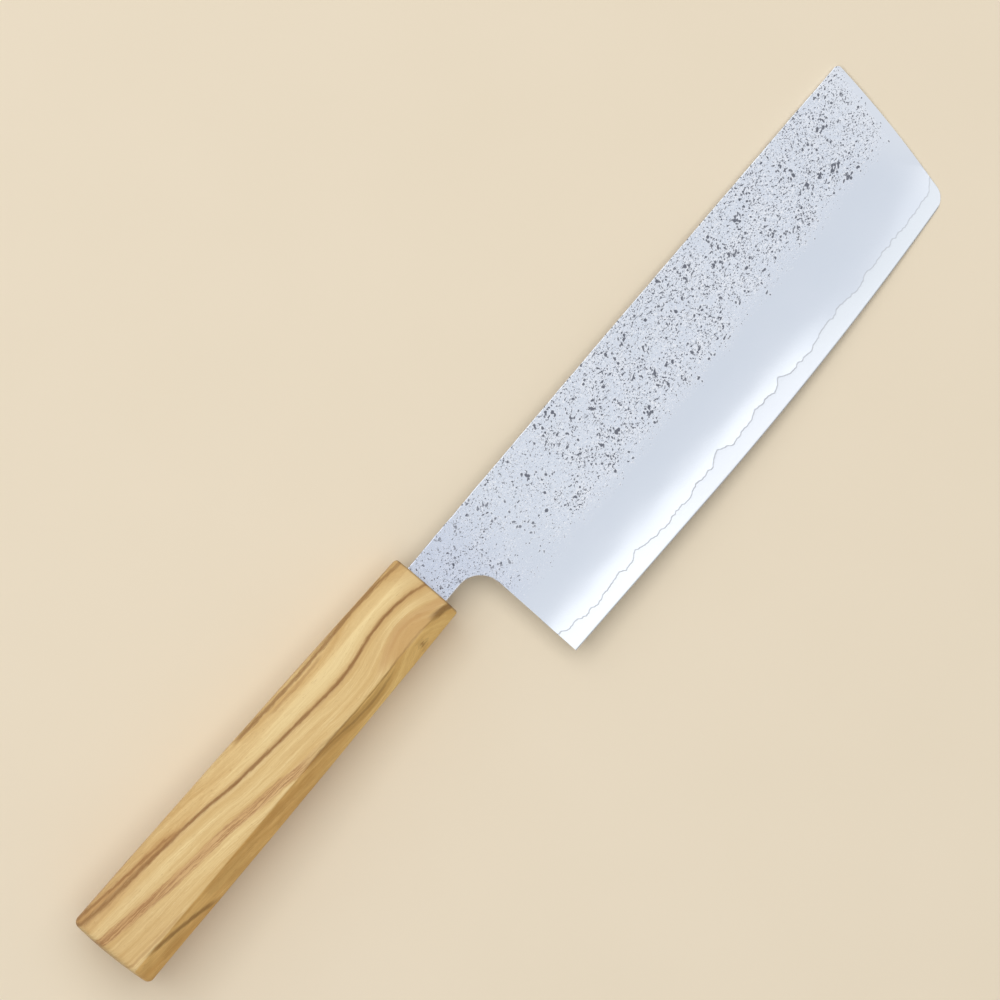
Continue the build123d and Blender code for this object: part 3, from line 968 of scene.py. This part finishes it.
bm = bmesh.new()
outer_edges = open_loop(bm, pocket_width - resin_play, pocket_thickness - resin_play, pocket_rounding)
inner_edges = open_loop(bm, neck_width + resin_play, neck_thickness + resin_play, neck_rounding)
bmesh.ops.translate(bm, vec=(-sunk, 0, 0), verts=bm.verts)
bmesh.ops.bridge_loops(bm, edges=outer_edges + inner_edges)
edges = carry_loop(bm, outer_edges, -(pocket_depth - sunk))
edges = carry_loop(bm, edges, -pocket_step, to_socket)
edges = carry_loop(bm, edges, -(socket_depth - pocket_depth - pocket_step - end_play))
bmesh.ops.edgeloop_fill(bm, edges=edges)
edges = carry_loop(bm, inner_edges, -(pocket_depth - sunk) + shoulder_play)
edges = carry_loop(bm, edges, -2 * shoulder_play, (hollow_root_width / neck_width, 1.0))
to_end = (hollow_end_width / hollow_root_width, hollow_end_thickness / neck_thickness)
edges = carry_loop(bm, edges, tang_end_x - shoulder_x, to_end)
bmesh.ops.edgeloop_fill(bm, edges=edges)
resin = to_frame(bm, "bedding_resin_skin")
finish = Finish("set_resin")
haze = finish.grain(finish.stretched((0.8, 0.8, 0.8)), 2.0)
resin.data.materials.append(
    finish.surface(
        {"IOR": 1.5},
        {
            "Base Color": finish.mix(haze, shade(96, 74, 50), shade(122, 98, 70)),
            "Roughness": 0.35 + 0.1 * haze,
        },
    )
)
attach(resin, "root")
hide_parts("tang_bedding")

# Floor: a plain pale table top. The knife stands on it on the edge of the handle's mouth and on the
# toe, so the table's plane is a little turned to the blade's.
floor_height, floor_rise, floor_roll, floor_half = -9.179, 0.04688, -0.02178, 2500
table_normal = Vector((-floor_rise, -floor_roll, 1)).normalized()
view_centre = Vector((31.5, 0, 0))
floor_centre = Vector((view_centre.x, 0, floor_height + floor_rise * view_centre.x))

bm = bmesh.new()
bmesh.ops.create_grid(bm, x_segments=2, y_segments=2, size=floor_half)
tilt = Vector((0, 0, 1)).rotation_difference(table_normal).to_matrix().to_4x4()
bmesh.ops.transform(bm, matrix=Matrix.Translation(floor_centre) @ tilt, verts=bm.verts)
floor = to_frame(bm, "table_top")
finish = Finish("pale_table")
mottle = finish.grain(finish.stretched((0.02, 0.02, 0.02)), 3.0)
floor.data.materials.append(
    finish.surface(
        {"Specular IOR Level": 0.2},
        {
            "Base Color": finish.mix(mottle, shade(239, 226, 204), shade(236, 223, 200)),
            "Roughness": 0.7 + 0.1 * mottle,
        },
    )
)

# Camera: straight above the table, over the knife, with the tip at the picture's upper right
view_distance, view_width = 2400.0, 279.3
sensor = 36.0
image_up = Vector((0.7587, 0.6514, 0))
back = table_normal
up = (image_up - back * image_up.dot(back)).normalized()
right = up.cross(back)
camera_data = bpy.data.cameras.new("camera")
camera_data.sensor_width = sensor
camera_data.lens = sensor * view_distance / view_width
camera_data.clip_start, camera_data.clip_end = 0.01, 20.0
camera = bpy.data.objects.new("camera", camera_data)
turned = Matrix((right, up, back)).transposed().to_4x4()
camera.matrix_world = Matrix.Translation(mouth + (view_centre + back * view_distance) * MM) @ turned
bpy.context.scene.collection.objects.link(camera)
bpy.context.scene.camera = camera


# Light: a wide soft lamp overhead, a window lamp on the spine's side, and two small panels high on
# the edge's side, which the polished bevel mirrors. The room gives an even light from all round.
def lamp(name, place, aim, width, depth, level, colour, mirrored=True):
    """A rectangular lamp, placed and aimed in millimetres, of an even brightness over its face."""
    data = bpy.data.lights.new(name, "AREA")
    data.shape = "RECTANGLE"
    data.size, data.size_y = width * MM, depth * MM
    data.energy = level * math.pi * width * depth * MM**2
    data.color = colour
    made = bpy.data.objects.new(name, data)
    turn = (Vector(place) - Vector(aim)).to_track_quat("Z", "Y").to_matrix().to_4x4()
    made.matrix_world = Matrix.Translation(mouth + Vector(place) * MM) @ turn
    made.visible_camera = False
    made.visible_glossy = mirrored
    bpy.context.scene.collection.objects.link(made)


daylight, backdrop = (1.0, 0.99, 0.97), (0.86, 0.88, 0.92)
lamp("ceiling_lamp", (0, 370, 1800), (30, 0, 0), 2300, 2300, 1.58, daylight, mirrored=False)
lamp("window_lamp", (0, 1500, 1200), (30, 0, 0), 1300, 1300, 0.75, daylight)
lamp("bevel_panel", (72, -207, 870), (80, -35, 0), 262, 118, 0.53, (1.0, 0.95, 0.87))
lamp("tip_panel", (300, -215, 870), (150, -35, 0), 190, 140, 0.2, (1.0, 0.97, 0.92))

world = bpy.data.worlds.new("studio")
bpy.context.scene.world = world
world.use_nodes = True
tree = world.node_tree
tree.nodes.clear()
rays = tree.nodes.new("ShaderNodeLightPath")
either = tree.nodes.new("ShaderNodeMixShader")
surface = tree.nodes.new("ShaderNodeOutputWorld")
for place, colour, strength in ((1, daylight, 0.36), (2, backdrop, 0.95)):
    glow = tree.nodes.new("ShaderNodeBackground")
    glow.inputs["Color"].default_value = (*colour, 1)
    glow.inputs["Strength"].default_value = strength
    tree.links.new(glow.outputs[0], either.inputs[place])
seen = rays.outputs["Is Camera Ray"]
for kind in ("Is Glossy Ray", "Is Transmission Ray"):
    larger = tree.nodes.new("ShaderNodeMath")
    larger.operation = "MAXIMUM"
    tree.links.new(seen, larger.inputs[0])
    tree.links.new(rays.outputs[kind], larger.inputs[1])
    seen = larger.outputs[0]
tree.links.new(seen, either.inputs["Fac"])
tree.links.new(either.outputs[0], surface.inputs["Surface"])
bpy.context.scene.view_settings.view_transform = "Standard"
